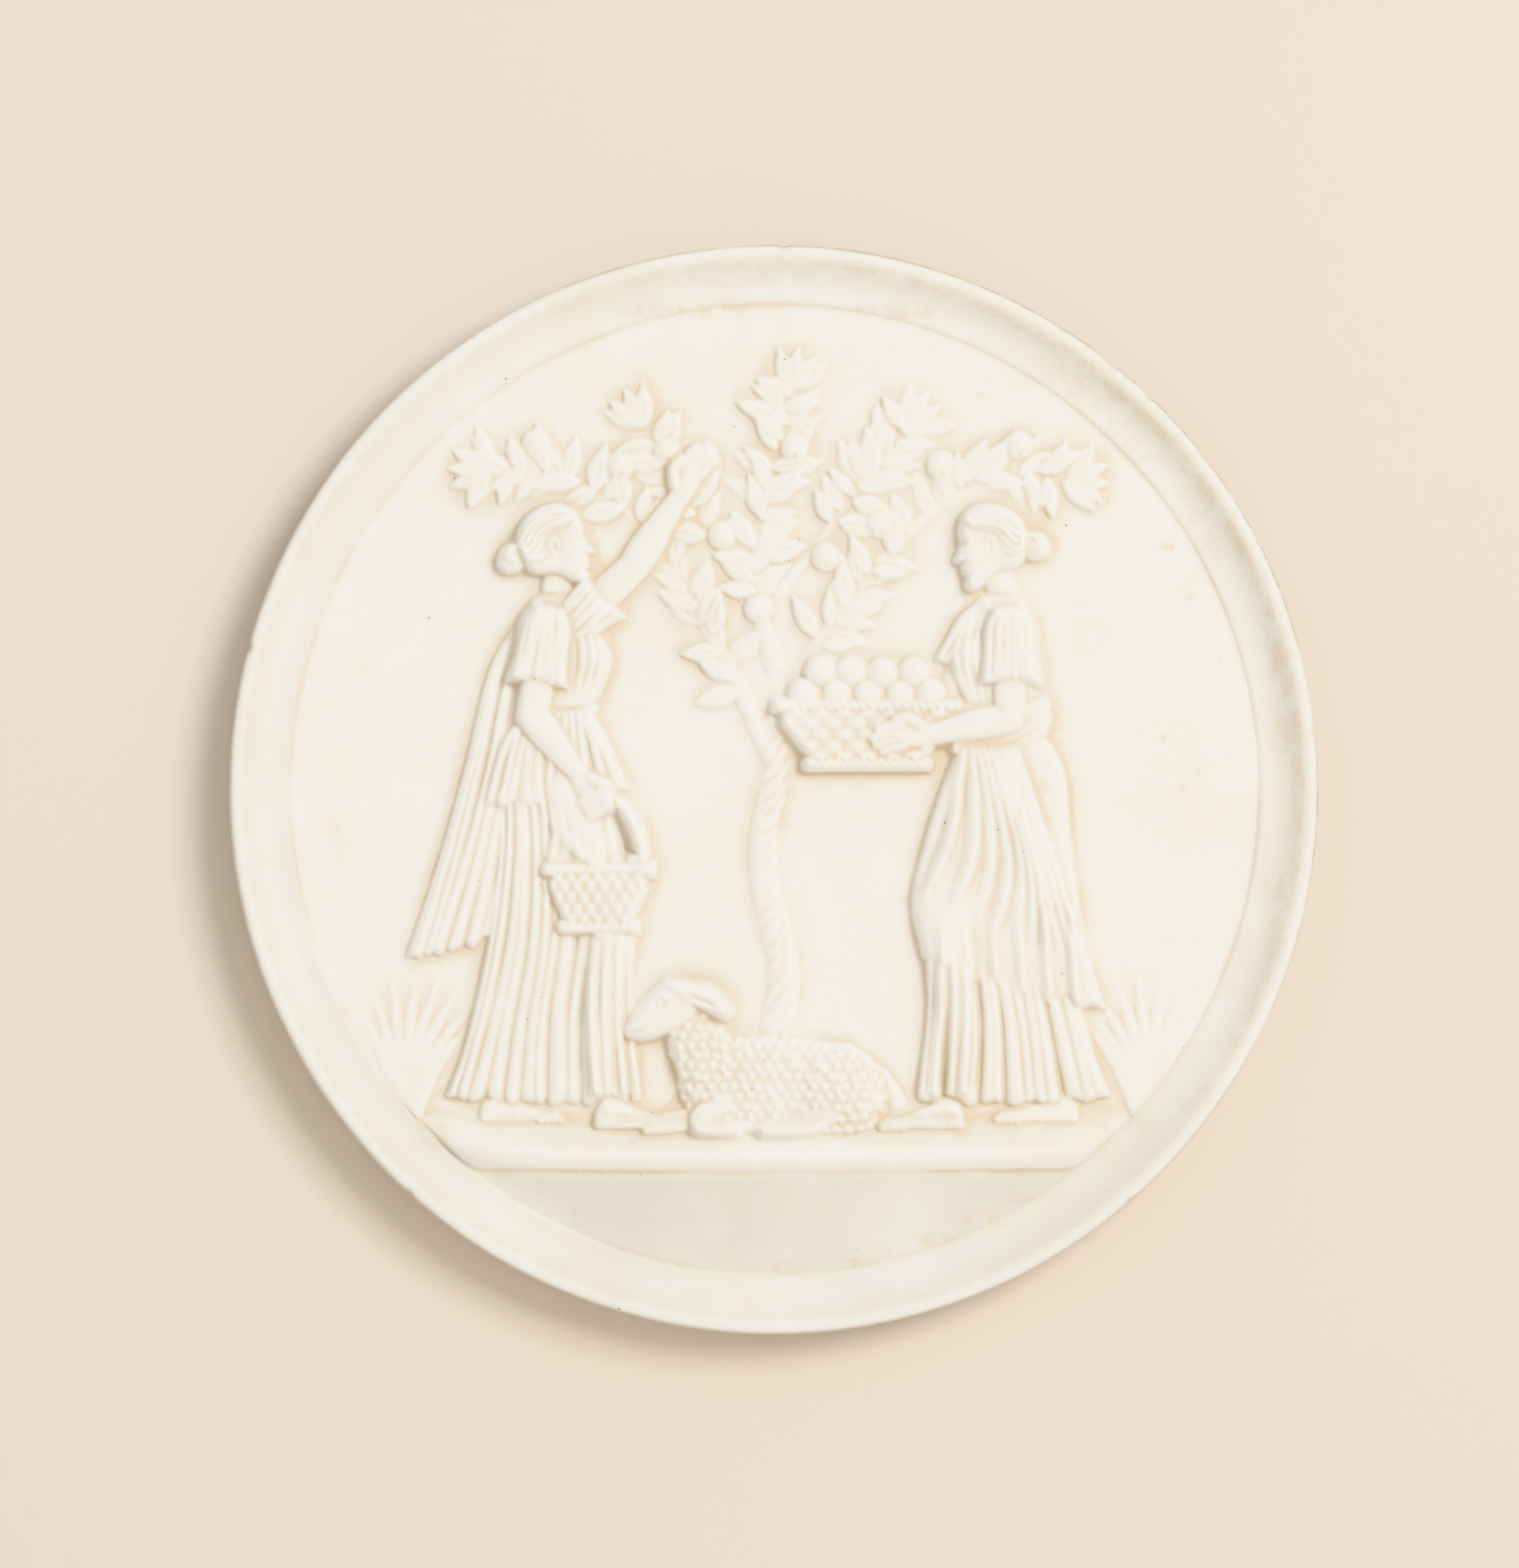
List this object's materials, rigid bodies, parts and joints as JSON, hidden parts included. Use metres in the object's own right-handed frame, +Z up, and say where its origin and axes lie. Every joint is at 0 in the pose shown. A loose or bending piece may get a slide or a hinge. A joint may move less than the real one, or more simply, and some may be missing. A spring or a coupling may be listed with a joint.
{
  "type": "relief roundel",
  "caption": "Round wall plaque with a raised coved rim and a low relief of two women gathering fruit under a tree above a lamb, flat at the back.",
  "frame": {"origin": "centre of the flat back, which lies against the wall", "axes": "+Z up, the carved front faces -Y, +X to the right as the front is seen"},
  "size_m": [0.21, 0.0136, 0.21],
  "materials": {
    "bisque": "matt unglazed, warm stains in the hollows"
  },
  "bodies": {
    "root": {"roundel": "bisque"}
  },
  "joints": []
}
